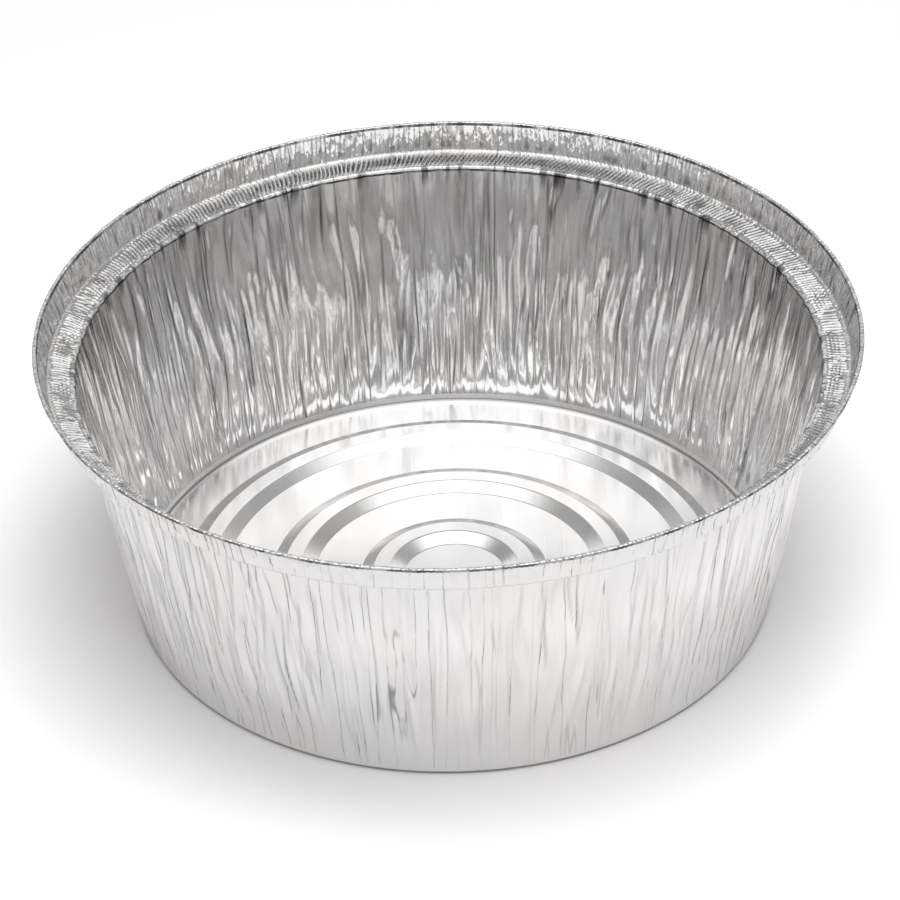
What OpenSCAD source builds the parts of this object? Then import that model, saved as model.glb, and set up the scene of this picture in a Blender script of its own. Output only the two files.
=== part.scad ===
// Round deep foil food container: one blank of foil pressed into a bottom with raised rings,
// a folded wall, a ledge for a lid, an upright band and a curled edge.
// The origin is the middle of the underside, +Z points up and sizes are millimetres.

/* [Body] */
// Height from the table to the top of the curled edge
body_h = 79.5; // [60:0.5:90]
// Diameter of the flat bottom, where the heel begins
base_d = 167; // [140:1:175]
// Radius of the heel between the bottom and the wall
heel_r = 1.5; // [1:0.5:4]
// Thickness of the foil in the bottom
foil_t = 0.12; // [0.1:0.01:0.2]
// How much thinner each face is where the foil is drawn up the wall
draw_thinning = 0.02; // [0.015:0.005:0.03]

/* [Rim] */
// Diameter over the curled edge
rim_d = 214; // [200:1:240]
// Width of the ledge that carries the lid
ledge_w = 7; // [4:0.5:10]
// How much the ledge rises from the wall to the band
ledge_rise = 1.1; // [0:0.1:2]
// Height of the upright band above the ledge
band_h = 7.6; // [5:0.2:11]
// How far the band leans out over its height
band_lean = 1; // [0.5:0.1:3]
// Radius of the bends at both sides of the ledge
ledge_bend_r = 0.8; // [0.5:0.1:1.2]
// Radius of the curled edge
curl_r = 0.6; // [0.4:0.1:0.9]

/* [Bottom rings] */
// Number of raised rings in the bottom
ring_count = 3; // [1:1:3]
// Radius of the innermost ring, at the middle of its crown
ring_first_r = 19.5; // [16:0.5:24]
// Distance from one ring to the next
ring_pitch = 24.3; // [18:0.1:26]
// Width of the flat crown of a ring
ring_crown_w = 4.2; // [2:0.2:5]
// Width of each sloping flank of a ring
ring_flank_w = 3.8; // [2:0.2:4]
// Height of a ring above the bottom
ring_h = 1.8; // [0.8:0.1:2]

/* [Folds] */
// Number of folds gathered around the wall and the rim
fold_count = 100; // [60:4:110]
// Depth of a full fold, from the mean wall to its crest
fold_depth = 0.75; // [0.2:0.05:1]
// Depth of the pleats in the ledge and the band
pleat_depth = 0.28; // [0.1:0.02:0.4]
// How far the folds sway to one side, in widths of a fold
fold_sway = 0.8; // [0:0.1:1.2]
// Seed of the irregular folds
fold_seed = 11; // [1:1:99]

/* [Hidden] */
foil_colour = [0.86, 0.87, 0.88];
arc_steps = 6;
curl_steps = 3;
curl_end_angle = -35;
seat_overlap = 0.8;
seat_h = heel_r + 1;
fold_levels = [0.06, 0.28, 0.52, 0.77];
fold_fades = [0.5, 1, 0.95, 0.85];
shoulder_fade = 0.5;
columns = 2 * fold_count;
column_angle = 360 / columns;
column_jitter = 0.25;

// Draft of the wall and lean of the band, both measured from the vertical
shoulder = [rim_d / 2 - 2 * curl_r - band_lean - ledge_w, body_h - curl_r - band_h - ledge_rise];
ledge_corner = shoulder + [ledge_w, ledge_rise];
band_top = ledge_corner + [band_lean, band_h];
heel_centre = [base_d / 2, heel_r];
draft = draft_angle(shoulder - heel_centre, heel_r);
wall_foot = heel_centre + heel_r * [cos(draft), -sin(draft)];

// Angle from the vertical of the line that touches the heel and ends at a point seen from its centre
function draft_angle(to, r) = atan2(to[0], to[1]) - asin(r / norm(to));

function unit(v) = v / norm(v);
function left_of(v) = [-v[1], v[0]];
function along(a, b, share) = a + (b - a) * share;
function reversed(list) = [for (i = [len(list) - 1 : -1 : 0]) list[i]];

// Points of an arc
function arc(centre, r, from, to, steps) =
    [for (i = [0 : steps]) let (a = from + (to - from) * i / steps) centre + r * [cos(a), sin(a)]];

// The two ends of a bend that rounds a corner off
function bend(before, corner, after, r) =
    [corner + r * unit(before - corner), corner + r * unit(after - corner)];

// Direction in which a line's point moves when the line is shifted to its left by one millimetre
function mitre(line, i) =
    let (last = len(line) - 1,
         before = left_of(unit(line[max(i, 1)] - line[max(i, 1) - 1])),
         after = left_of(unit(line[min(i + 1, last)] - line[min(i + 1, last) - 1])))
    (before + after) / (1 + before * after);

function shifted(line, by) = [for (i = [0 : len(line) - 1]) line[i] + by * mitre(line, i)];

// Underside of one raised ring, from its inner to its outer foot
function ring_line(r) =
    let (crown = ring_crown_w / 2, foot = crown + ring_flank_w)
    [[r - foot, 0], [r - crown, ring_h], [r + crown, ring_h], [r + foot, 0]];

// Underside of the bottom and outside of the heel, from the middle out
bottom_line = concat(
    [[0, 0]],
    [for (i = [0 : ring_count - 1], p = ring_line(ring_first_r + i * ring_pitch)) p],
    arc(heel_centre, heel_r, -90, -draft, arc_steps));

// The heel ends level, so that the wall stands in its edge
function wall_point(height) =
    along(wall_foot, shoulder, (height - wall_foot[1]) / (shoulder[1] - wall_foot[1]));
seat_point = wall_point(seat_h);

module bottom() {
    inside = shifted(bottom_line, foil_t);
    rotate_extrude($fn = 256)
        polygon(concat(bottom_line, [seat_point, seat_point - [foil_t / cos(draft), 0]], reversed(inside)));
}

// Outside of the wall and the rim, from the heel to the end of the curl
skin_line = concat(
    [wall_point(seat_h - seat_overlap), wall_point(seat_h + seat_overlap)],
    [for (level = fold_levels) along(seat_point, shoulder, level)],
    bend(wall_foot, shoulder, ledge_corner, ledge_bend_r),
    bend(shoulder, ledge_corner, band_top, ledge_bend_r),
    arc(band_top + [curl_r, 0], curl_r, 180, curl_end_angle, curl_steps));
rows = len(skin_line);
plain_rows = 2;
wall_rows = plain_rows + len(fold_levels);

// Depth of the folds at each row
row_depth = [for (row = [0 : rows - 1])
    row < plain_rows ? 0 :
    row < wall_rows ? fold_depth * fold_fades[row - plain_rows] :
    row == wall_rows ? fold_depth * shoulder_fade : pleat_depth];

jitter = rands(-column_jitter, column_jitter, columns, fold_seed);
depth_share = rands(0.25, 1, columns * rows, fold_seed + 1);

// Sideways sway of the folds at a height, which neighbours share
function sway(angle, height) =
    fold_sway * 2 * column_angle * height * (1 - height)
    * (2 * sin(5 * angle + 200 * height) + sin(11 * angle - 300 * height) + sin(23 * angle));

function column_place(column, row) =
    row < plain_rows ? column * column_angle :
    let (angle = (column + jitter[column]) * column_angle)
    angle + sway(angle, min(skin_line[row][1] / shoulder[1], 1));

// Distance from the mean skin to a crest, which is out on even columns and in on odd ones
function fold_offset(column, row) =
    row_depth[row] * depth_share[row * columns + column] * (column % 2 == 0 ? -1 : 1);

function skin_point(column, row, face) =
    let (across = skin_line[row] + mitre(skin_line, row) * (face + fold_offset(column, row)),
         angle = column_place(column, row))
    [across[0] * cos(angle), across[0] * sin(angle), across[1]];

module skin() {
    faces_at = [draw_thinning, foil_t - draw_thinning];
    points = [for (face = faces_at, row = [0 : rows - 1], column = [0 : columns - 1])
        skin_point(column, row, face)];
    side = rows * columns;
    quads = [for (row = [0 : rows - 2], column = [0 : columns - 1])
        let (next = (column + 1) % columns)
        [row * columns + column, row * columns + next,
         (row + 1) * columns + next, (row + 1) * columns + column]];
    outer = [for (q = quads, t = [[q[0], q[2], q[1]], [q[0], q[3], q[2]]]) t];
    inner = [for (q = quads, t = [[q[0], q[1], q[2]], [q[0], q[2], q[3]]]) t + [side, side, side]];
    rims = [for (row = [0, rows - 1], column = [0 : columns - 1])
        let (a = row * columns + column, b = row * columns + (column + 1) % columns)
        each (row == 0
            ? [[a, b, b + side], [a, b + side, a + side]]
            : [[a, b + side, b], [a, a + side, b + side]])];
    polyhedron(points, concat(outer, inner, rims), convexity = 6);
}

module foil_container() {
    color(foil_colour) {
        bottom();
        skin();
    }
}

foil_container();
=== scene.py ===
import math

import bpy
import numpy as np
from bpy.props import FloatProperty, FloatVectorProperty, IntProperty, PointerProperty
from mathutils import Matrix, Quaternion, Vector


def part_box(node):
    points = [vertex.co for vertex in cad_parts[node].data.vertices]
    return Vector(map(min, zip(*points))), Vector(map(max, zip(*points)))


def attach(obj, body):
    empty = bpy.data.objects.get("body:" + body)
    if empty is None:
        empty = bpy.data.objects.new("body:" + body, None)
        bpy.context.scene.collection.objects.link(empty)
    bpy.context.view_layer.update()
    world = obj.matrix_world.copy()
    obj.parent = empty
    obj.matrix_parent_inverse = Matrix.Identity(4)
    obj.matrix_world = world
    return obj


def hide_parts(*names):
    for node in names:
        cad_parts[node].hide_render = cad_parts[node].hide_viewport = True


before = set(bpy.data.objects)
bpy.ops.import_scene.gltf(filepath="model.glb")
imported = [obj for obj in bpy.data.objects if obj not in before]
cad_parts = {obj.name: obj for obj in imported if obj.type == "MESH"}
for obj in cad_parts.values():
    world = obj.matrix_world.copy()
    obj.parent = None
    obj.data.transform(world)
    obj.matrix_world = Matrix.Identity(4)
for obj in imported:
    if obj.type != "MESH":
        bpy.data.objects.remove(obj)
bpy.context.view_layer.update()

CAD_NODE = "foil_container"
BODY = "root"
PAINTED_SHADE = "groove"

bl_info = {
    "name": "Pressed foil container",
    "version": (1, 0, 0),
    "blender": (4, 5, 0),
    "location": "3D View > Sidebar > Foil",
    "description": "Builds a round foil food container with its folds, pleats, rings and finish",
    "category": "Add Mesh",
}

MM = 0.001
FULL_TURN = 2 * math.pi
CAD_LOW, CAD_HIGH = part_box(CAD_NODE)
CAD_WIDTH = CAD_HIGH.x - CAD_LOW.x
CAD_HEIGHT = CAD_HIGH.z - CAD_LOW.z


def length(name, description, default):
    return FloatProperty(
        name=name, description=description, default=default, subtype="DISTANCE", unit="LENGTH", precision=5)


def colour(name, description, default):
    return FloatVectorProperty(
        name=name, description=description, default=default, size=3, min=0, max=1, subtype="COLOR")


class FoilSizes(bpy.types.PropertyGroup):
    """Sizes of the pressed form."""

    rim_diameter: length("Rim", "Diameter over the curled edge", CAD_WIDTH - 0.6 * MM)
    height: length("Height", "From the table to the top of the curled edge", CAD_HEIGHT - 0.45 * MM)
    bottom_diameter: length("Bottom", "Diameter at which the heel begins", 168 * MM)
    heel_radius: length("Heel", "Radius between the bottom and the wall", 1 * MM)
    ledge_width: length("Ledge width", "From the wall to the band", 7 * MM)
    ledge_rise: length("Ledge rise", "How much the ledge rises to the band", 1.1 * MM)
    band_height: length("Band height", "Height of the upright band", 7.6 * MM)
    band_lean: length("Band lean", "How far the band flares out", 2 * MM)
    bend_radius: length("Bend", "Radius of the bends beside the ledge", 0.8 * MM)
    curl_radius: length("Curl", "Radius of the curled edge", 0.42 * MM)
    foil: length("Foil", "Thickness of the foil", 0.12 * MM)
    ring_count: IntProperty(name="Rings", description="Raised rings in the bottom", default=3, min=1)
    ring_first: length("First ring", "Radius of the innermost ring's crown", 19.5 * MM)
    ring_pitch: length("Ring pitch", "From one ring to the next", 24.3 * MM)
    ring_crown: length("Ring crown", "Width of a ring's flat crown", 4.2 * MM)
    ring_flank: length("Ring flank", "Width of each sloping flank", 3.8 * MM)
    ring_height: length("Ring height", "Height of a ring", 1.8 * MM)
    ring_bend: length("Ring bend", "Radius of the bends beside a flank", 1.1 * MM)


class FoilFolds(bpy.types.PropertyGroup):
    """Sizes of the folds that the press gathers in the foil."""

    fold_pitch: length("Fold pitch", "Mean distance between two wide folds of the wall", 5.2 * MM)
    fold_depth: length("Fold depth", "Depth of a wide fold", 0.6 * MM)
    flute_pitch: length("Flute pitch", "Mean distance between two narrow folds", 2.8 * MM)
    flute_depth: length("Flute depth", "Depth of a narrow fold", 0.55 * MM)
    crease_count: IntProperty(name="Creases", description="Sharp creases in the wall", default=260, min=0)
    crease_depth: length("Crease depth", "Depth of a sharp crease", 0.42 * MM)
    crumple_depth: length("Crumple depth", "Depth of the crumpled patches", 0.16 * MM)
    pleat_pitch: length("Pleat pitch", "Mean distance between two pleats of the ledge", 1.3 * MM)
    pleat_depth: length("Pleat depth", "Depth of a pleat from its mean", 0.26 * MM)
    pleat_shear: FloatProperty(name="Pleat shear", description="Lean of the pleats", default=0.38)
    edge_wobble: length("Edge wobble", "How far the curled edge rises and sinks", 0.12 * MM)
    seed: IntProperty(name="Seed", description="Seed of the irregular folds", default=11)


class FoilFinish(bpy.types.PropertyGroup):
    """Colours and gloss of the rolled foil."""

    cool: colour("Cool", "Colour of most of the foil", (0.9, 0.898, 0.902))
    warm: colour("Warm", "Colour of the foil's faint warm clouds", (0.914, 0.9, 0.889))
    wall_roughness: FloatProperty(name="Wall roughness", description="Gloss of the drawn foil", default=0.11)
    bottom_roughness: FloatProperty(name="Bottom roughness", description="Gloss of the bottom", default=0.19)


class FoilStage(bpy.types.PropertyGroup):
    """The studio around the container."""

    paper: colour("Paper", "Colour of the floor", (0.937, 0.926, 0.93))
    camera_distance: length("Distance", "From the camera to the point it looks at", 1001 * MM)
    camera_aim: length("Aim height", "Height of the point that the camera looks at", 40.5 * MM)
    camera_shift: length("Aim side", "How far that point is to the side", -0.28 * MM)
    camera_elevation: FloatProperty(
        name="Elevation", description="How far the camera looks down",
        default=math.radians(34.36), subtype="ANGLE")
    camera_roll: FloatProperty(
        name="Roll", description="Roll of the camera", default=math.radians(-1.62), subtype="ANGLE")
    camera_lens: FloatProperty(name="Lens", description="Focal length on a 36 mm sensor", default=151.8)


class Noise:
    """Smooth irregular waves from -1 to 1 on a strip that closes on itself round the container."""

    LAYERS = 64

    def __init__(self, cells, seed):
        draws = np.random.default_rng(seed)
        turn = draws.uniform(0, FULL_TURN, (cells, self.LAYERS))
        self.cells = cells
        self.slope = np.stack([np.cos(turn), np.sin(turn)], axis=-1)

    def __call__(self, around, up):
        """around is in turns and up in cells."""
        x = around * self.cells
        column = np.floor(x).astype(int)
        layer = np.floor(up).astype(int)
        x = x - column
        y = up - layer
        ease_x = x * x * x * (x * (6 * x - 15) + 10)
        ease_y = y * y * y * (y * (6 * y - 15) + 10)

        def corner(i, j):
            slope = self.slope[(column + i) % self.cells, (layer + j) % self.LAYERS]
            return slope[..., 0] * (x - i) + slope[..., 1] * (y - j)

        low = corner(0, 0) + ease_x * (corner(1, 0) - corner(0, 0))
        high = corner(0, 1) + ease_x * (corner(1, 1) - corner(0, 1))
        return 1.5 * (low + ease_y * (high - low))


def step(low, high, value):
    """Rises smoothly from 0 at low to 1 at high."""
    share = np.clip((value - low) / (high - low), 0, 1)
    return share * share * (3 - 2 * share)


def sharp(wave, tip=0.12):
    """Turns a wave's zero lines into crests with narrow tips."""
    return 1 - 2 * np.sqrt(wave * wave + tip * tip)


def arc(centre, radius, start, end, steps):
    """Points of an arc, with its angles in degrees."""
    turn = np.radians(np.linspace(start, end, steps + 1))
    return np.stack([centre[0] + radius * np.cos(turn), centre[1] + radius * np.sin(turn)], axis=1)


def rounded(before, corner, after, radius, steps):
    """Points of the bend that rounds a corner off with that radius."""
    before, corner, after = (np.array(p, float) for p in (before, corner, after))
    to_before = (before - corner) / np.linalg.norm(before - corner)
    to_after = (after - corner) / np.linalg.norm(after - corner)
    half = math.acos(np.clip(to_before @ to_after, -1, 1)) / 2
    middle = (to_before + to_after) / np.linalg.norm(to_before + to_after)
    centre = corner + middle * radius / math.sin(half)
    start = corner + to_before * radius / math.tan(half) - centre
    sweep = math.pi - 2 * half
    side = math.copysign(1, start[0] * (to_after - start)[1] - start[1] * (to_after - start)[0])
    turn = side * np.linspace(0, sweep, steps + 1)
    return np.stack([
        centre[0] + start[0] * np.cos(turn) - start[1] * np.sin(turn),
        centre[1] + start[0] * np.sin(turn) + start[1] * np.cos(turn)], axis=1)


def stretch(start, end, pitch):
    """Evenly spaced points between two points, without the ends."""
    start, end = np.array(start, float), np.array(end, float)
    count = max(1, round(np.linalg.norm(end - start) / pitch))
    share = np.linspace(0, 1, count + 1)[1:-1, None]
    return start + share * (end - start)


class Section:
    """Half of the container's section, from the middle of its underside to the end of the curled edge."""

    def __init__(self, sizes):
        self.sizes = sizes
        rim = sizes.rim_diameter / 2
        corner_r = rim - 2 * sizes.curl_radius - sizes.band_lean
        corner_z = sizes.height - sizes.curl_radius - sizes.band_height
        self.corner = np.array([corner_r, corner_z])
        self.shoulder = self.corner - [sizes.ledge_width, sizes.ledge_rise]
        self.band_top = self.corner + [sizes.band_lean, sizes.band_height]
        self.heel = np.array([sizes.bottom_diameter / 2, sizes.heel_radius])
        rise = self.shoulder - self.heel
        self.draft = math.atan2(rise[0], rise[1]) - math.asin(sizes.heel_radius / np.linalg.norm(rise))
        along_heel = np.array([math.cos(self.draft), -math.sin(self.draft)])
        self.foot = self.heel + sizes.heel_radius * along_heel
        self.wall_start = self.on_wall(sizes.heel_radius + 1 * MM)
        self.wall_end = self.shoulder_bend()[0]
        parts = [self.bottom(), self.wall()[1:], self.ledge()[1:], self.band()[1:]]
        self.line = np.concatenate(parts)
        self.joints = np.cumsum([len(part) for part in parts]) - 1
        runs = np.linalg.norm(np.diff(self.line, axis=0), axis=1)
        travel = np.concatenate([[0], np.cumsum(runs)])
        nearest = np.linalg.norm(self.line - self.shoulder, axis=1).argmin()
        self.travel = travel - travel[nearest]

    def on_wall(self, height):
        """The point of the wall's outside at a height."""
        share = (height - self.foot[1]) / (self.shoulder[1] - self.foot[1])
        return self.foot + share * (self.shoulder - self.foot)

    def ring(self, middle):
        """One raised ring, from its inner to its outer foot."""
        crown = self.sizes.ring_crown / 2
        flank = crown + self.sizes.ring_flank
        top = self.sizes.ring_height
        line = np.array([
            [middle - flank - MM, 0], [middle - flank, 0], [middle - crown, top],
            [middle + crown, top], [middle + flank, 0], [middle + flank + MM, 0]])
        bends = [rounded(*line[i - 1:i + 2], self.sizes.ring_bend, 3) for i in range(1, 5)]
        return np.concatenate(bends)

    def bottom(self):
        """The underside and the heel."""
        last = np.array([0.0, 0.0])
        parts = [[last]]
        for i in range(self.sizes.ring_count):
            ring = self.ring(self.sizes.ring_first + i * self.sizes.ring_pitch)
            parts += [stretch(last, ring[0], 2 * MM), ring]
            last = ring[-1]
        heel = arc(self.heel, self.sizes.heel_radius, -90, -math.degrees(self.draft), 10)
        parts += [stretch(last, heel[0], 2 * MM), heel, [self.wall_start]]
        return np.concatenate(parts)

    def wall(self):
        """The wall, from the heel to the shoulder, with closer rows at its foot."""
        low = self.on_wall(self.wall_start[1] + 4 * MM)
        return np.concatenate([
            [self.wall_start], stretch(self.wall_start, low, 0.8 * MM),
            [low], stretch(low, self.wall_end, 2.5 * MM), [self.wall_end]])

    def shoulder_bend(self):
        return rounded(self.foot, self.shoulder, self.corner, self.sizes.bend_radius, 4)

    def on_band(self, share):
        """Points of the band, which flares more and more from the corner to its top."""
        share = np.array(share)[:, None]
        bulge = self.sizes.band_lean * BAND_CURVE * share * (1 - share)
        return self.corner + share * (self.band_top - self.corner) - bulge * [1, 0]

    def corner_bend(self):
        return rounded(self.shoulder, self.corner, self.on_band(BAND_ROWS[:1])[0], self.sizes.bend_radius, 4)

    def ledge(self):
        """The inner shoulder and the ledge."""
        shoulder = self.shoulder_bend()
        start = self.corner_bend()[0]
        return np.concatenate([shoulder, stretch(shoulder[-1], start, 1 * MM), [start]])

    def band(self):
        """The corner, the band and the curled edge."""
        curl_r = self.sizes.curl_radius
        curl = arc(self.band_top + [curl_r, 0], curl_r, 160, -60, 6)
        return np.concatenate([self.corner_bend(), self.on_band(BAND_ROWS), curl])


def mitres(line):
    """For each point of a line, the way it moves when the line is shifted to its left by one unit."""
    runs = np.diff(line, axis=0)
    runs /= np.linalg.norm(runs, axis=1)[:, None]
    left = np.stack([-runs[:, 1], runs[:, 0]], axis=1)
    before = np.concatenate([left[:1], left])
    after = np.concatenate([left, left[-1:]])
    return (before + after) / (1 + (before * after).sum(axis=1))[:, None]


class Relief:
    """How far the folds push the foil inwards, as a function of the place round and up the container."""

    def __init__(self, folds, section):
        self.folds = folds
        self.foot = section.wall_start[1]
        self.shoulder = section.shoulder[1]
        self.around = FULL_TURN * (section.wall_start[0] + section.wall_end[0]) / 2
        self.rim_around = FULL_TURN * section.corner[0]
        seed = folds.seed

        def wave(pitch, number):
            return Noise(max(3, round(self.around / pitch)), seed + number)

        self.sway_wide = wave(40 * MM, 1)
        self.sway_near = wave(11 * MM, 2)
        self.broad = wave(12 * MM, 3)
        self.fold = wave(folds.fold_pitch, 4)
        self.flute = wave(folds.flute_pitch, 5)
        self.crumple = wave(2.4 * MM, 6)
        self.patches = wave(26 * MM, 7)
        self.ends = wave(3.5 * MM, 8)
        self.pleat_sway = wave(9 * MM, 9)
        self.pleat_strength = wave(5 * MM, 10)
        self.dents = wave(1.6 * MM, 11)
        self.nicks = wave(2.6 * MM, 12)
        self.tucks = wave(3 * MM, 14)
        self.creases = self.draw_creases(seed + 13)

    def draw_creases(self, seed):
        """Places, ends and depths of the sharp creases, in pairs that may meet."""
        draws = np.random.default_rng(seed)
        creases = []
        for _ in range(self.folds.crease_count):
            around = draws.uniform(0, self.around)
            top = draws.uniform(0.25, 1.02) if draws.uniform() < 0.6 else 1.02
            tall = draws.uniform(0.12, 0.5)
            lean = draws.uniform(-2.2, 2.2) * MM
            depth = draws.choice([-1, 1], p=[0.75, 0.25]) * draws.uniform(0.35, 1)
            width = draws.uniform(0.4, 0.8) * MM
            creases.append((around, top, tall, lean, depth, width))
            if draws.uniform() < 0.35:
                other = around + draws.choice([-1, 1]) * draws.uniform(2, 4) * MM
                creases.append((other, top, tall, lean + 0.9 * (around - other), depth, width))
        return creases

    def creased(self, around, share, warp):
        """The sharp creases and the thin lines of painted shade along them: each runs down and dies out at
        both ends.
        """
        total, lines = np.zeros_like(share), np.zeros_like(share)
        for start, top, tall, lean, depth, width in self.creases:
            run = (top - share) / tall
            middle = start + lean * run
            gap = around * self.around + warp - middle
            gap = (gap + self.around / 2) % self.around - self.around / 2
            near = (np.abs(gap) < 4 * width) & (run > 0) & (run < 1)
            fade = np.sqrt(np.clip(np.sin(math.pi * np.clip(run[near], 0, 1)), 0, 1))
            total[near] += depth * fade * np.exp(-np.abs(gap[near]) / width)
            lines[near] += depth * fade * np.clip(1 - np.abs(gap[near]) / (0.45 * MM), 0, 1)
        return total, np.clip(lines, -1, 1)

    def wall(self, around, height):
        """Folds of the wall and their dark lines of painted shade, at a place round it in turns and a
        height.

        The lines are above 0 where they are seen from outside and below 0 where from inside. The inside also
        gets a little painted shade as a whole at its foot and towards its top.
        """
        folds = self.folds
        share = (height - self.foot) / (self.shoulder - self.foot)
        up = height / MM
        warp = (2.6 * self.sway_wide(around, up / 50) + 1.1 * self.sway_near(around, up / 24)) * MM
        warp = warp * np.sin(math.pi * np.clip(share, 0, 1)) ** 0.7
        place = around + warp / self.around
        pressed = step(0.35, 0.9, share)
        total = 0.5 * folds.fold_depth * self.broad(place, up / 44)
        total = total + folds.fold_depth * sharp(self.fold(place, up / 38), 0.1 + 0.1 * (1 - pressed))
        fluted = folds.flute_depth * (1 - 0.35 * pressed)
        total = total - fluted * sharp(self.flute(place, up / 42 + 5), 0.18)
        middle = step(0.25, 0.4, share) * (1 - step(0.75, 0.92, share))
        patch = step(0.1, 0.4, self.patches(around, up / 17 + 3)) * middle
        total = total + folds.crumple_depth * patch * sharp(self.crumple(place, up / 4.2), 0.1)
        creases, lines = self.creased(around, share, warp)
        total = total + folds.crease_depth * creases
        start = height - self.foot - 0.4 * MM * (1 + self.ends(around, 0.5 + 0 * up))
        total = total * step(0, 6 * MM, start) * (0.7 + 0.3 * step(4 * MM, 18 * MM, start))
        total = total * (1 - 0.5 * step(0.86, 1.0, share))
        # Painted shade in the tucks just below the inner shoulder, on the inside
        tucks = step(0.2, 0.35, self.tucks(around, up / 30)) * step(0.94, 0.97, share)
        # Painted shade over the inside: darker at the wall's foot and a little towards its top
        foot_dim = 0.15 * (1 - step(2 * MM, 26 * MM, height))
        top_dim = 0.05 * step(44 * MM, 66 * MM, height)
        # The crease lines are painted shade on the face that sees the groove
        lines = np.where(lines > 0, OUTSIDE_LINES, INSIDE_LINES) * lines
        return total, lines - TUCK_LINES * tucks - foot_dim - top_dim

    def rim(self, around, travel):
        """Pleats of the ledge and the band and their dark lines of painted shade, at a distance from the
        shoulder.
        """
        folds = self.folds
        up = travel / MM
        count = round(self.rim_around / folds.pleat_pitch)
        lean = folds.pleat_shear * travel / folds.pleat_pitch * (1 - step(5 * MM, 9 * MM, travel))
        phase = FULL_TURN * (count * around + lean + 0.9 * self.pleat_sway(around, up / 12))
        strength = 0.75 + 0.6 * self.pleat_strength(around, up / 5)
        pleats = (np.sin(phase) + 0.4 * np.sin(2 * phase + 1)) * strength
        on_ledge = step(0.3 * MM, 1.6 * MM, travel) * (1 - 0.75 * step(5 * MM, 6.5 * MM, travel))
        on_band = step(7.5 * MM, 9 * MM, travel) * (1 - 0.7 * step(12 * MM, 14 * MM, travel))
        dented = 0.5 * sharp(self.dents(around, up / 3), 0.15)
        dented = dented + 0.4 * self.pleat_strength(around, up / 6 + 4)
        relief = folds.pleat_depth * (pleats * (on_ledge + 0.03) + dented * (0.05 + on_band))
        # The ledge's lines are painted shade, darker at the front and the back than at the sides
        darkness = 0.62 - 0.3 * np.cos(2 * FULL_TURN * around)
        tucks = darkness * step(MM, 2 * MM, travel) * (1 - step(4.8 * MM, 6.2 * MM, travel))
        tucks = tucks * step(-1.1, 0.2, -pleats)
        # Painted shade in dark strokes over the dents of the band
        strokes = 0.6 * on_band * step(0.15, 0.5, self.dents(around, up / 5 + 9))
        return relief, -tucks - strokes * (1 - 0.5 * step(8.5 * MM, 12 * MM, travel))

    def at(self, around, height, travel):
        """The folds of the wall and their painted shade, which give way to the pleats of the rim at the
        shoulder.
        """
        wall, rim = self.wall(around, height), self.rim(around, travel)
        low, high = 1 - step(-1 * MM, 2 * MM, travel), step(-3 * MM, 1 * MM, travel)
        return wall[0] * low + rim[0] * high, wall[1] * low + rim[1] * high

    def wobble(self, around, share):
        """How far the curled edge rises and sinks. share runs from 0 to 1 up the band."""
        return self.folds.edge_wobble * self.nicks(around, 0.5 + 0 * share) * step(0.4, 1.0, share)


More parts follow.
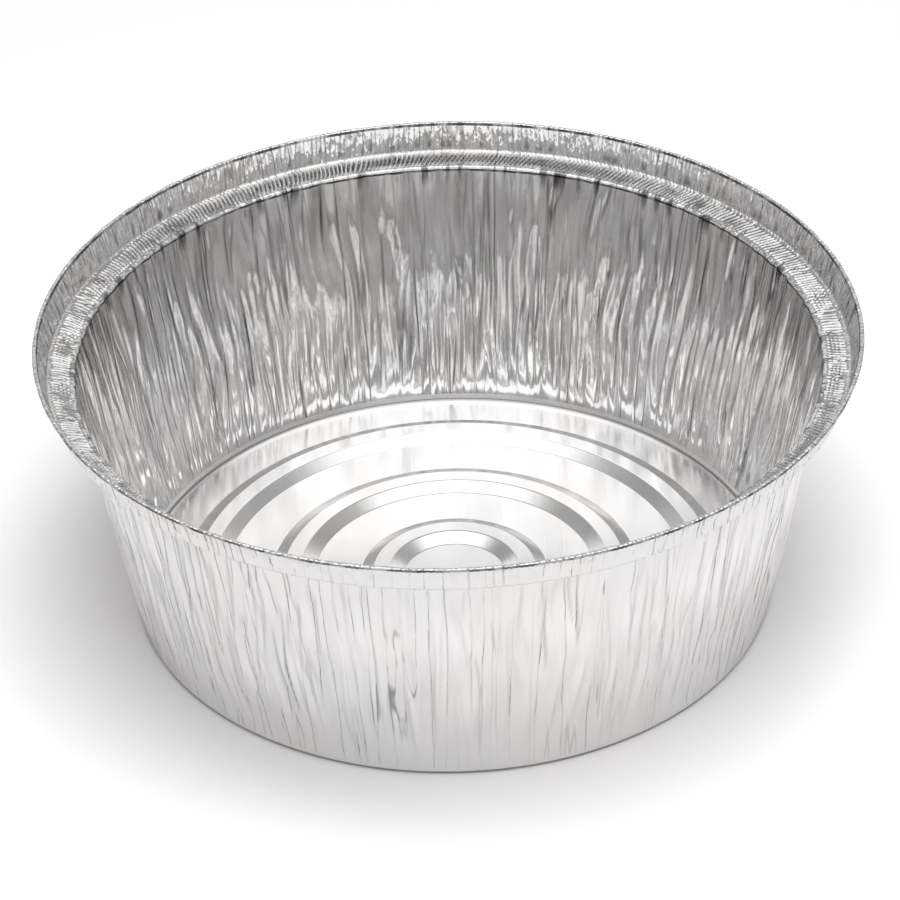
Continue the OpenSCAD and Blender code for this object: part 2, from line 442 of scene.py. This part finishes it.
class Skin:
    """A closed sheet of foil between two faces, from rows of the section and columns round it."""

    def __init__(self, section, piece, columns):
        """The rows run from joint to joint. One row more at each end keeps the shading even there."""
        first, last = ([0, *section.joints])[piece:piece + 2]
        low, high = max(first - 1, 0), min(last + 2, len(section.line))
        self.rows = slice(first - low, last + 1 - low)
        self.line = section.line[low:high]
        self.columns = columns
        self.shift = mitres(self.line)
        self.around, self.height = np.meshgrid(np.arange(columns) / columns, self.line[:, 1])
        self.reach = np.repeat(self.line[:, :1], columns, axis=1)
        self.travel = np.repeat(section.travel[low:high, None], columns, axis=1)
        self.relief = np.zeros_like(self.height)
        # groove is painted shade: above 0 it darkens the outside, below 0 the inside
        self.groove = np.zeros_like(self.height)
        self.lift = np.zeros_like(self.height)

    def meet(self, row, columns):
        """Lays the points of a row on the straight edges of a neighbour with fewer columns."""
        ratio = self.columns // columns
        joint = self.relief[row, ::ratio]
        following = np.repeat(np.roll(joint, -1), ratio)
        share = np.arange(self.columns) % ratio / ratio
        self.relief[row] = (1 - share) * np.repeat(joint, ratio) + share * following

    def face(self, depth, side):
        """Points and normals of the face that lies that deep behind the outside."""
        push = self.relief + depth
        across = self.line[:, 0, None] + self.shift[:, 0, None] * push
        up = self.line[:, 1, None] + self.shift[:, 1, None] * push + self.lift
        turn = FULL_TURN * self.around
        grid = np.stack([across * np.cos(turn), across * np.sin(turn), up], axis=-1)
        normal = np.cross(np.roll(grid, -1, axis=1) - np.roll(grid, 1, axis=1), np.gradient(grid, axis=0))
        normal = side * normal / np.maximum(np.linalg.norm(normal, axis=-1, keepdims=True), 1e-12)
        points, normals = grid[self.rows].reshape(-1, 3), normal[self.rows].reshape(-1, 3)
        if self.solid:
            points, normals = points[self.columns - 1:], normals[self.columns - 1:]
            normals[0] = (0, 0, -side)
        return points, normals

    @property
    def solid(self):
        """Whether the piece starts at the middle of the bottom, where its first row is one point."""
        return self.line[0, 0] == 0

    def edge(self, row):
        """Pairs of neighbours along a row."""
        column = np.arange(self.columns)
        start = row * self.columns - (self.columns - 1 if self.solid else 0)
        return start + np.stack([column, (column + 1) % self.columns], axis=-1)

    def mesh(self, name, foil):
        """The closed mesh, with the normals of the folded surface."""
        outside, inside = self.face(0, 1), self.face(foil, -1)
        behind = len(outside[0])
        last = self.rows.stop - self.rows.start - 1
        rings = [self.edge(row) for row in range(1 if self.solid else 0, last + 1)]
        quads = np.concatenate([np.concatenate([a, b[:, ::-1]], axis=1) for a, b in zip(rings, rings[1:])])
        rim = np.concatenate([rings[-1], rings[-1][:, ::-1] + behind], axis=1)
        faces = np.concatenate([quads, quads[:, ::-1] + behind, rim]).tolist()
        if self.solid:
            faces += [[0, b, a] for a, b in rings[0].tolist()]
            faces += [[behind, a + behind, b + behind] for a, b in rings[0].tolist()]
        else:
            faces += np.concatenate([rings[0][:, ::-1], rings[0] + behind], axis=1).tolist()
        mesh = bpy.data.meshes.new(name)
        mesh.from_pydata(np.concatenate([outside[0], inside[0]]).tolist(), [], faces)
        mesh.polygons.foreach_set("use_smooth", np.ones(len(faces), bool))
        mesh.normals_split_custom_set_from_vertices(np.concatenate([outside[1], inside[1]]).tolist())
        # The groove attribute carries the painted shade of each face
        groove = self.groove[self.rows].reshape(-1)[-behind:]
        dark = np.clip(np.concatenate([groove, -groove]), 0, 1)
        mesh.attributes.new(PAINTED_SHADE, "FLOAT", "POINT").data.foreach_set("value", dark)
        mesh.update()
        return mesh


def foil_piece(name, skin, foil, material):
    """Makes a piece of the container from a skin, in place of the plain solid."""
    mesh = skin.mesh(name, foil)
    mesh.materials.append(material)
    piece = bpy.data.objects.new(name, mesh)
    bpy.context.scene.collection.objects.link(piece)
    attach(piece, BODY)
    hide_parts(CAD_NODE)
    return piece


class Socket:
    """An output socket that can be used in a Python expression. Each operator adds its node."""

    def __init__(self, graph, socket):
        self.graph = graph
        self.socket = socket

    def maths(self, operation, *values):
        if any(is_vector(v) for v in values):
            values = [(v, v, v) if isinstance(v, float) else v for v in values]
            return self.graph.node("ShaderNodeVectorMath", *values, operation=operation)
        return self.graph.node("ShaderNodeMath", *values, operation=operation)

    def __add__(self, other):
        return self.maths("ADD", self, other)

    def __radd__(self, other):
        return self.maths("ADD", other, self)

    def __sub__(self, other):
        return self.maths("SUBTRACT", self, other)

    def __rsub__(self, other):
        return self.maths("SUBTRACT", other, self)

    def __mul__(self, other):
        return self.maths("MULTIPLY", self, other)

    def __rmul__(self, other):
        return self.maths("MULTIPLY", other, self)


def is_vector(value):
    """Whether a value is a vector or a colour, or a socket of one."""
    if isinstance(value, Socket):
        return value.socket.type in ("VECTOR", "RGBA")
    return isinstance(value, (tuple, list, Vector))


class Graph:
    """The nodes of a material or of the world."""

    def __init__(self, owner):
        owner.use_nodes = True
        self.tree = owner.node_tree
        self.tree.nodes.clear()

    def node(self, kind, *values, output=0, inputs=None, **settings):
        """Adds a node. values fill its inputs in order and inputs fills them by name."""
        made = self.tree.nodes.new(kind)
        for key, value in settings.items():
            setattr(made, key, value)
        filled = [(made.inputs[i], v) for i, v in enumerate(values)]
        filled += [(made.inputs[key], v) for key, v in (inputs or {}).items()]
        for socket, value in filled:
            if isinstance(value, Socket):
                self.tree.links.new(value.socket, socket)
            else:
                socket.default_value = value
        return Socket(self, made.outputs[output]) if made.outputs else made

    def noise(self, vector, detail=2.0, roughness=0.5):
        return self.node(
            "ShaderNodeTexNoise", inputs={
                "Vector": vector, "Scale": 1.0, "Detail": detail, "Roughness": roughness})

    def mix(self, share, low, high):
        """Blends two colours."""
        made = self.tree.nodes.new("ShaderNodeMix")
        made.data_type = "RGBA"
        colours = [s for s in made.inputs if s.type == "RGBA"]
        for socket, value in ((made.inputs[0], share), (colours[0], low), (colours[1], high)):
            if isinstance(value, Socket):
                self.tree.links.new(value.socket, socket)
            else:
                socket.default_value = value
        return Socket(self, next(s for s in made.outputs if s.type == "RGBA"))

    def split(self, vector):
        """The X, Y and Z of a vector."""
        parts = self.node("ShaderNodeSeparateXYZ", vector).socket.node
        return [Socket(self, s) for s in parts.outputs]

    def between(self, value, low, high, start=0.0, end=1.0):
        """Maps low to high smoothly onto start to end."""
        return self.node(
            "ShaderNodeMapRange", value, low, high, start, end, interpolation_type="SMOOTHSTEP")


def opaque(rgb):
    return (*rgb, 1.0)


def foil_shader(graph, finish, roughness, height, depth, shade=1.0):
    """Bright foil with a relief of that height, which is depth deep. shade is painted shade that darkens it.
    """
    place = graph.node("ShaderNodeTexCoord", output="Object")
    clouds = graph.between(graph.noise(place * (28.0, 28.0, 16.0), detail=3.0), 0.35, 0.65)
    haze = graph.noise(place * (70.0, 70.0, 40.0), detail=4.0)
    normal = graph.node("ShaderNodeBump", inputs={"Strength": 1.0, "Distance": depth, "Height": height})
    shader = graph.node("ShaderNodeBsdfPrincipled", inputs={
        "Base Color": graph.mix(clouds, opaque(finish.cool), opaque(finish.warm)) * shade,
        "Metallic": 1.0,
        "Roughness": graph.between(haze, 0.3, 0.7, roughness * 0.85, roughness * 1.2),
        "Normal": normal})
    graph.node("ShaderNodeOutputMaterial", shader)


def flat_foil(finish, heel):
    """The finish of the bottom, with the faint lines of the rolling mill and a dark line of painted contact
    shadow round its edge.
    """
    material = bpy.data.materials.new("flat_foil")
    graph = Graph(material)
    place = graph.node("ShaderNodeTexCoord", output="Object")
    flat = place * (1.0, 1.0, 0.0)
    reach = graph.node("ShaderNodeVectorMath", flat, operation="LENGTH", output="Value")
    lines = graph.noise(place * (900.0, 22.0, 300.0), detail=3.0, roughness=0.6)
    # Painted contact shadow: both faces darken where the heel curves up, below 1 mm
    edge = graph.between(reach, heel, heel + 0.5 * MM)
    edge = edge * graph.between(graph.split(place)[2], 0.5 * MM, MM, 1.0, 0.0)
    shade = 1.0 - 0.6 * edge
    foil_shader(graph, finish, finish.bottom_roughness, lines, 0.00003, shade)
    return material


def drawn_foil(name, finish, crumple, line):
    """The finish of folded foil, with wrinkles and tight creases that are too fine for the mesh, and painted
    shade in them.

    crumple is the depth of the small dents. line gives two heights between which a dark line of painted
    shade runs. The mesh says by its groove attribute where its own folds get painted shade in dark lines,
    and where the inside of the wall gets it at its foot and top.
    """
    material = bpy.data.materials.new(name)
    graph = Graph(material)
    place = graph.node("ShaderNodeTexCoord", output="Object")
    up = graph.split(place)[2]
    flat = place * (1.0, 1.0, 0.0)
    turn = flat.maths("NORMALIZE", flat) * (WALL_RADIUS, WALL_RADIUS, WALL_RADIUS)
    tall = turn + graph.node("ShaderNodeCombineXYZ", 0.0, 0.0, up)
    sway = graph.noise(tall * (45.0, 45.0, 30.0)) - 0.5
    bent = tall + sway * (0.003, 0.003, 0.0)
    wrinkles = graph.noise(bent * (380.0, 380.0, 13.0), detail=1.0)
    long = graph.noise(bent * (250.0, 250.0, 7.0), detail=1.0) - 0.5
    middle = long.maths("ABSOLUTE", long)
    patches = graph.between(graph.noise(tall * (70.0, 70.0, 35.0)), 0.35, 0.55)
    groove = graph.between(middle, 0.0, 0.05, 1.0, 0.0) * patches
    dents = graph.noise(place * (620.0, 620.0, 150.0), detail=2.0)
    height = 0.33 * wrinkles - 0.2 * groove + crumple * dents
    # Painted shade in the fine grooves of the bump: soft and tight darken the colour along them
    soft = graph.between(graph.noise(tall * (60.0, 60.0, 40.0)), 0.4, 0.6, 0.05, 0.2)
    tight = graph.between(graph.noise(tall * (95.0, 95.0, 55.0)), 0.61, 0.67, 0.0, 0.4)
    shade = 1.0 - (soft + tight) * graph.between(middle, 0.0, 0.02, 1.0, 0.0)
    # Painted shade from the mesh's groove attribute
    shade = shade * (1.0 - graph.node("ShaderNodeAttribute", output="Fac", attribute_name=PAINTED_SHADE))
    # Painted shade: the wall and rim darken towards the top
    shade = shade * graph.between(up, *TOP_HEIGHTS, 1.0, TOP_SHADE)
    # Painted shade: a dark line between the two heights of line, uneven by nicks
    nicks = graph.between(graph.noise(place * (260.0, 260.0, 260.0)), 0.35, 0.6, 0.4, 0.9)
    low, high = line
    across = graph.between(up, low - 0.2 * MM, low) * graph.between(up, high, high + 0.15 * MM, 1.0, 0.0)
    shade = shade * (1.0 - nicks * across)
    foil_shader(graph, finish, finish.wall_roughness, height, MM, shade)
    return material


class FOIL_OT_bottom(bpy.types.Operator):
    """Press the flat bottom with its raised rings and heel"""

    bl_idname = "foil.bottom"
    bl_label = "Bottom"

    def execute(self, context):
        scene = context.scene
        sizes = scene.foil_sizes
        skin = Skin(Section(sizes), 0, BOTTOM_COLUMNS)
        calm = Noise(9, scene.foil_folds.seed + 20)
        flat = step(0, 20 * MM, skin.reach) * (1 - step(76 * MM, 81 * MM, skin.reach))
        skin.relief = 0.03 * MM * (1 + calm(skin.around, skin.reach / (22 * MM))) * flat
        finish = flat_foil(scene.foil_finish, sizes.bottom_diameter / 2)
        foil_piece("foil_bottom", skin, sizes.foil, finish)
        return {"FINISHED"}


class FOIL_OT_wall(bpy.types.Operator):
    """Gather the wall into its folds and creases"""

    bl_idname = "foil.wall"
    bl_label = "Wall"

    def execute(self, context):
        scene = context.scene
        sizes = scene.foil_sizes
        section = Section(sizes)
        skin = Skin(section, 1, WALL_COLUMNS)
        relief = Relief(scene.foil_folds, section)
        skin.relief, skin.groove = relief.at(skin.around, skin.height, skin.travel)
        top = section.wall_end[1]
        # A dark line of painted shade runs round the top of the wall, under the shoulder
        finish = drawn_foil("folded_foil", scene.foil_finish, 0.06, (top - 0.4 * MM, top + MM))
        foil_piece("foil_wall", skin, sizes.foil, finish)
        return {"FINISHED"}


class FOIL_OT_rim(bpy.types.Operator):
    """Form the pleated ledge, the band and the curled edge"""

    bl_idname = "foil.rim"
    bl_label = "Rim"

    def execute(self, context):
        scene = context.scene
        sizes = scene.foil_sizes
        section = Section(sizes)
        relief = Relief(scene.foil_folds, section)
        top = sizes.height
        # A dark line of painted shade runs round the curled edge
        line = (top - 1.7 * sizes.curl_radius, top - 0.5 * sizes.curl_radius)
        for piece, name, crumple in ((2, "foil_ledge", 0.2), (3, "foil_band", 0.5)):
            skin = Skin(section, piece, RIM_COLUMNS)
            skin.relief, skin.groove = relief.at(skin.around, skin.height, skin.travel)
            skin.lift = relief.wobble(skin.around, (skin.height - section.corner[1]) / sizes.band_height)
            if piece == 2:
                skin.meet(skin.rows.start, WALL_COLUMNS)
            finish = drawn_foil("pleated_" + name, scene.foil_finish, crumple, line)
            foil_piece(name, skin, sizes.foil, finish)
        return {"FINISHED"}


class FOIL_OT_stage(bpy.types.Operator):
    """Set the floor, the lamps and the camera"""

    bl_idname = "foil.stage"
    bl_label = "Stage"

    def execute(self, context):
        stage = context.scene.foil_stage
        lay_floor(stage)
        light_studio(context.scene)
        set_camera(context.scene, stage)
        return {"FINISHED"}


def lay_floor(stage):
    """A white floor that keeps its shadows.

    The camera sees its paper brighter than the foil does, and in the foil it has a faint sheen.
    """
    mesh = bpy.data.meshes.new("floor")
    half = FLOOR_SIZE / 2
    corners = [(x * half, y * half, FLOOR_DROP) for x, y in ((-1, -1), (1, -1), (1, 1), (-1, 1))]
    mesh.from_pydata(corners, [], [(0, 1, 2, 3)])
    floor = bpy.data.objects.new("floor", mesh)
    bpy.context.scene.collection.objects.link(floor)
    material = bpy.data.materials.new("studio_floor")
    graph = Graph(material)
    camera = graph.node("ShaderNodeLightPath", output="Is Camera Ray")
    seen = graph.mix(camera, opaque(stage.paper), opaque([v * FLOOR_LIFT for v in stage.paper]))
    paper = graph.node("ShaderNodeBsdfDiffuse", seen)
    glossy = graph.node("ShaderNodeLightPath", output="Is Glossy Ray")
    glow = graph.node("ShaderNodeEmission", opaque(stage.paper), glossy * FLOOR_SHEEN)
    graph.node("ShaderNodeOutputMaterial", graph.node("ShaderNodeAddShader", paper, glow))
    mesh.materials.append(material)


def light_studio(scene):
    """A studio that the foil mirrors, and one lamp that lights the floor.

    The foil sees a softbox overhead, a bright front, a pale backdrop, and walls that are light low down.
    """
    world = bpy.data.worlds.new("studio")
    scene.world = world
    graph = Graph(world)
    way = graph.node("ShaderNodeTexCoord", output="Generated")
    aside, ahead, up = graph.split(way)
    room = graph.between(aside, *RIGHT_EDGE, LEFT_LEVEL, RIGHT_LEVEL)
    low = graph.between(up, *WALLS_TOP, 1.0, 0.0)
    room = room + low * (graph.between(ahead, *FRONT_EDGE, FRONT_LEVEL, WALLS_LEVEL) - room)
    backdrop = graph.between(ahead, *BACKDROP_EDGE) * graph.between(up, *BACKDROP_TOP, 1.0, 0.0)
    room = room + backdrop * (BACKDROP_LEVEL - room)
    high = up.maths("MAXIMUM", up, 0.01)
    over = aside.maths("ABSOLUTE", aside.maths("DIVIDE", aside, high))
    along = ahead.maths("DIVIDE", ahead, high)
    softbox = graph.between(over, *SOFTBOX_SIDE, 1.0, 0.0)
    softbox = softbox * graph.between(along, *SOFTBOX_BACK, 1.0, 0.0) * graph.between(along, *SOFTBOX_FRONT)
    room = room + softbox * (SOFTBOX_LEVEL - room)
    diffuse = graph.node("ShaderNodeLightPath", output="Is Diffuse Ray")
    camera = graph.node("ShaderNodeLightPath", output="Is Camera Ray")
    room = room + diffuse * (FILL_LEVEL - room)
    strength = room + camera * (1.0 - room)
    graph.node("ShaderNodeOutputWorld", graph.node("ShaderNodeBackground", opaque((1, 1, 1)), strength))
    lamp = bpy.data.lights.new("softbox", "AREA")
    lamp.shape = "RECTANGLE"
    lamp.size = lamp.size_y = LAMP_SIZE
    lamp.energy = LAMP_POWER
    holder = bpy.data.objects.new("softbox", lamp)
    scene.collection.objects.link(holder)
    holder.location = LAMP_PLACE
    holder.rotation_euler = Vector(LAMP_PLACE).to_track_quat("Z", "Y").to_euler()
    holder.visible_glossy = False


def set_camera(scene, stage):
    """The camera looks at the container along +Y and down."""
    ahead = Vector((0, math.cos(stage.camera_elevation), -math.sin(stage.camera_elevation)))
    data = bpy.data.cameras.new("camera")
    data.lens = stage.camera_lens
    data.sensor_width = SENSOR
    data.clip_end = 20
    camera = bpy.data.objects.new("camera", data)
    scene.collection.objects.link(camera)
    camera.location = Vector((stage.camera_shift, 0, stage.camera_aim)) - stage.camera_distance * ahead
    camera.rotation_mode = "QUATERNION"
    camera.rotation_quaternion = ahead.to_track_quat("-Z", "Y") @ Quaternion((0, 0, 1), stage.camera_roll)
    scene.camera = camera
    scene.view_settings.view_transform = "Standard"


class VIEW3D_PT_foil(bpy.types.Panel):
    """Buttons and values of the foil container"""

    bl_label = "Foil container"
    bl_space_type = "VIEW_3D"
    bl_region_type = "UI"
    bl_category = "Foil"

    def draw(self, context):
        layout = self.layout
        for name, group in GROUPS.items():
            box = layout.box()
            for key in group.__annotations__:
                box.prop(getattr(context.scene, name), key)
        for operator in OPERATORS:
            layout.operator(operator.bl_idname)


# Columns of the meshes. The bottom's divide the wall's, and the wall's divide the rim's
WALL_COLUMNS = 1536
BOTTOM_COLUMNS = WALL_COLUMNS // 3
RIM_COLUMNS = 2 * WALL_COLUMNS

# Rows of the band as shares of its height, and how hollow it is between its ends
BAND_ROWS = (0.25, 0.5, 0.75, 0.94)
BAND_CURVE = 0.4

# Radius at which the wall's wrinkles keep their size, and the painted shade that darkens the wall and rim
# from the lower of two heights up to the higher and above it
WALL_RADIUS = 92 * MM
TOP_HEIGHTS = (40 * MM, 66 * MM)
TOP_SHADE = 0.88

# Darkness of the painted shade along the crease lines on each face, and in the tucks at the inner shoulder
OUTSIDE_LINES = 0.45
INSIDE_LINES = 0.75
TUCK_LINES = 0.8

# The floor and the camera
FLOOR_SIZE = 8.0
FLOOR_DROP = -0.05 * MM
FLOOR_SHEEN = 0.08
FLOOR_LIFT = 1.31
SENSOR = 36.0

# Brightness of the studio's parts. The edges are parts of a direction of length 1
LEFT_LEVEL = 0.33
RIGHT_LEVEL = 0.36
RIGHT_EDGE = (0.0, 0.6)
BACKDROP_LEVEL = 0.85
BACKDROP_EDGE = (0.62, 0.82)
BACKDROP_TOP = (0.62, 0.8)
FRONT_LEVEL = 1.15
FRONT_EDGE = (-0.85, -0.4)
WALLS_LEVEL = 0.6
WALLS_TOP = (0.34, 0.46)

# The softbox overhead, whose edges lie on a ceiling one unit up
SOFTBOX_LEVEL = 1.5
SOFTBOX_SIDE = (0.4, 1.6)
SOFTBOX_BACK = (0.15, 0.42)
SOFTBOX_FRONT = (-1.35, -0.95)

# What the studio adds to the floor, and the lamp over it
FILL_LEVEL = 0.2
LAMP_PLACE = (0.05, -0.1, 1.0)
LAMP_SIZE = 0.75
LAMP_POWER = 8.85
GROUPS = {
    "foil_sizes": FoilSizes,
    "foil_folds": FoilFolds,
    "foil_finish": FoilFinish,
    "foil_stage": FoilStage,
}
OPERATORS = (FOIL_OT_bottom, FOIL_OT_wall, FOIL_OT_rim, FOIL_OT_stage)


def register():
    for cls in (*GROUPS.values(), *OPERATORS, VIEW3D_PT_foil):
        bpy.utils.register_class(cls)
    for name, group in GROUPS.items():
        setattr(bpy.types.Scene, name, PointerProperty(type=group))


def unregister():
    for name in GROUPS:
        delattr(bpy.types.Scene, name)
    for cls in reversed((*GROUPS.values(), *OPERATORS, VIEW3D_PT_foil)):
        bpy.utils.unregister_class(cls)


def main():
    register()
    bpy.ops.foil.stage()
    bpy.ops.foil.bottom()
    bpy.ops.foil.wall()
    bpy.ops.foil.rim()


if __name__ == "__main__":
    main()
